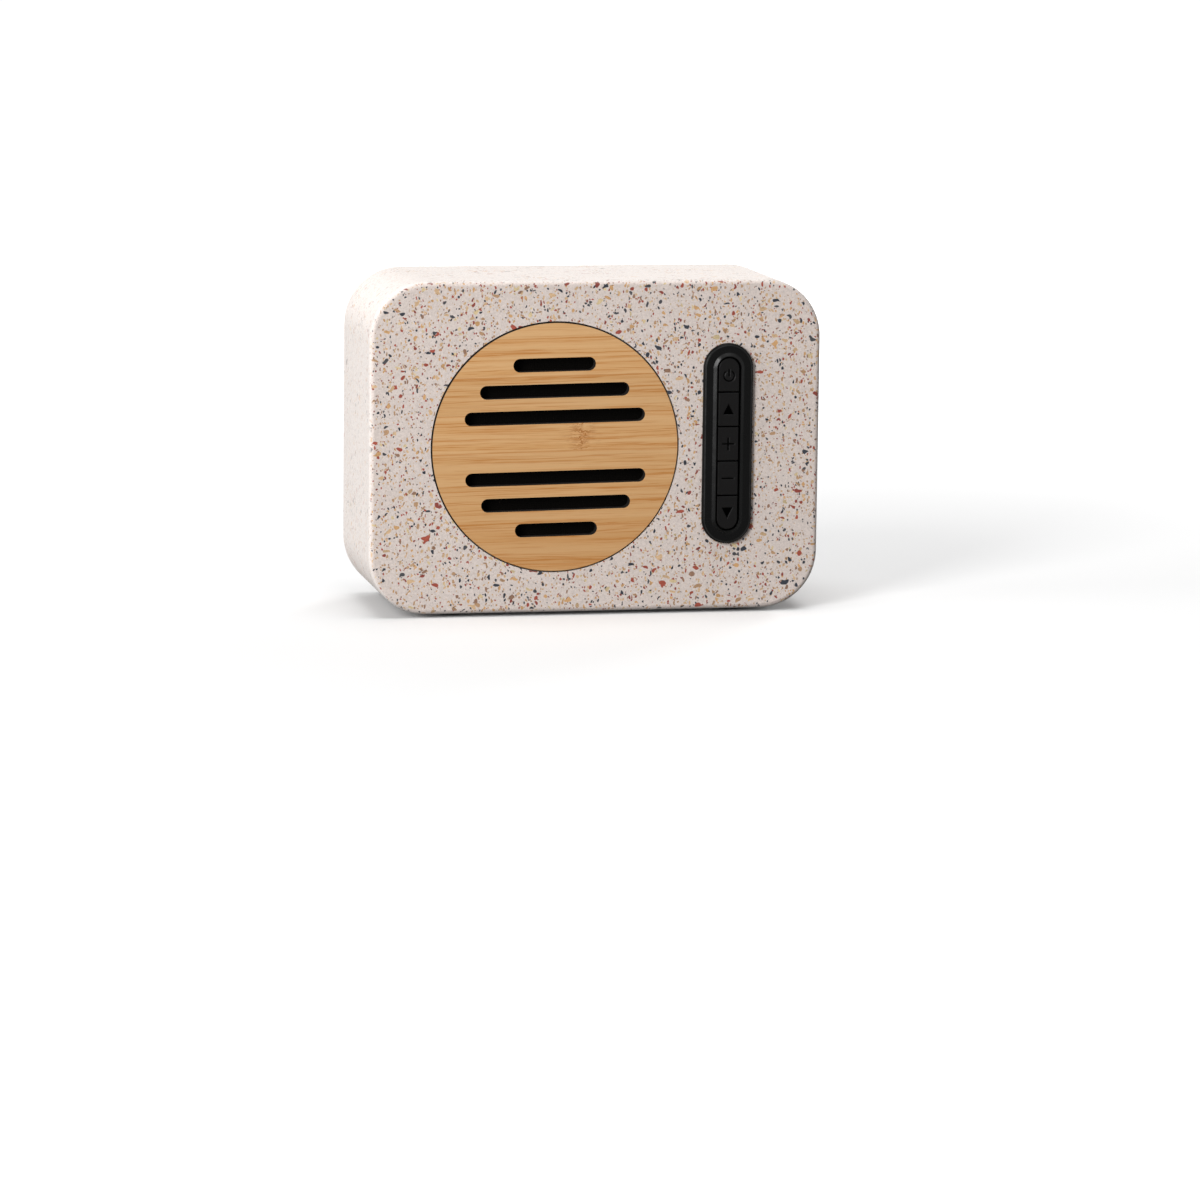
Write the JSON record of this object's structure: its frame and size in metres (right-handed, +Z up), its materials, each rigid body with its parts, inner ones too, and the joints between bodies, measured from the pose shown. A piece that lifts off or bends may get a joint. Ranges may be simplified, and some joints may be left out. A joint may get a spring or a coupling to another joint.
{
  "type": "wireless speaker",
  "caption": "Desktop wireless speaker: cast stone-chip body with round corners, flush round bamboo grille with slots, upright strip of press keys, charging port in the back panel.",
  "frame": {"origin": "bottom centre of the overall box, on the plane under the feet", "axes": "+Z up, the front with the grille and the keys faces -Y, +X to the right seen from the front"},
  "size_m": [0.11, 0.0436, 0.0808],
  "materials": {
    "cast_stone": "matte",
    "bamboo": "satin",
    "acoustic_cloth": "matte",
    "bezel_plastic": "satin",
    "key_plastic": "satin",
    "panel_plastic": "matte",
    "foot_rubber": "matte",
    "seal_foam": "matte",
    "surround_rubber": "matte",
    "cone_paper": "matte",
    "spider_cloth": "matte",
    "coil_copper": "polished",
    "pressed_steel": "satin",
    "plated_steel": "satin",
    "ferrite": "matte",
    "screw_steel": "satin",
    "insert_brass": "satin",
    "circuit_board": "satin",
    "part_plastic": "matte",
    "socket_plastic": "matte",
    "capacitor_can": "satin",
    "cell_foil": "satin",
    "lead_cover": "satin",
    "ribbon_cover": "satin"
  },
  "bodies": {
    "housing": {"cast_body": "cast_stone", "grille_disc": "bamboo", "grille_cloth": "acoustic_cloth", "control_bezel": "bezel_plastic", "back_panel": "panel_plastic", "rubber_feet": "foot_rubber", "panel_seal": "seal_foam", "driver_gasket": "seal_foam", "battery_tape": "seal_foam", "driver_surround": "surround_rubber", "driver_spider": "spider_cloth", "driver_frame": "pressed_steel", "driver_top_plate": "plated_steel", "driver_yoke": "plated_steel", "usb_shell": "plated_steel", "radio_shield": "plated_steel", "driver_magnet": "ferrite", "driver_screws": "screw_steel", "key_board_screws": "screw_steel", "panel_screws": "screw_steel", "driver_inserts": "insert_brass", "key_board_inserts": "insert_brass", "panel_inserts": "insert_brass", "key_board": "circuit_board", "main_board": "circuit_board", "battery_guard_board": "circuit_board", "driver_terminals": "circuit_board", "key_switches": "part_plastic", "board_chips": "part_plastic", "usb_tongue": "part_plastic", "board_sockets": "socket_plastic", "key_board_socket": "socket_plastic", "board_capacitors": "capacitor_can", "battery_cell": "cell_foil", "battery_leads": "lead_cover", "driver_leads": "lead_cover", "key_ribbon": "ribbon_cover"},
    "cone": {"driver_cone": "cone_paper", "driver_dust_cap": "cone_paper", "voice_coil": "coil_copper"},
    "power": {"power_key": "key_plastic", "power_plunger": "key_plastic"},
    "track_forward": {"track_forward_key": "key_plastic", "track_forward_plunger": "key_plastic"},
    "volume_up": {"volume_up_key": "key_plastic", "volume_up_plunger": "key_plastic"},
    "volume_down": {"volume_down_key": "key_plastic", "volume_down_plunger": "key_plastic"},
    "track_back": {"track_back_key": "key_plastic", "track_back_plunger": "key_plastic"}
  },
  "joints": [
    {"name": "power_press", "type": "slide", "parent": "housing", "child": "power", "axis": [0, 1, 0], "range_m": [0, 0.00035], "stiffness_N_per_m": 2000, "springref_m": -0.0003},
    {"name": "track_forward_press", "type": "slide", "parent": "housing", "child": "track_forward", "axis": [0, 1, 0], "range_m": [0, 0.00035], "stiffness_N_per_m": 2000, "springref_m": -0.0003},
    {"name": "volume_up_press", "type": "slide", "parent": "housing", "child": "volume_up", "axis": [0, 1, 0], "range_m": [0, 0.00035], "stiffness_N_per_m": 2000, "springref_m": -0.0003},
    {"name": "volume_down_press", "type": "slide", "parent": "housing", "child": "volume_down", "axis": [0, 1, 0], "range_m": [0, 0.00035], "stiffness_N_per_m": 2000, "springref_m": -0.0003},
    {"name": "track_back_press", "type": "slide", "parent": "housing", "child": "track_back", "axis": [0, 1, 0], "range_m": [0, 0.00035], "stiffness_N_per_m": 2000, "springref_m": -0.0003},
    {"name": "cone_stroke", "type": "slide", "parent": "housing", "child": "cone", "axis": [0, 1, 0], "range_m": [-0.0012, 0.0012], "stiffness_N_per_m": 1500, "deforming": ["driver_surround", "driver_spider"]}
  ]
}
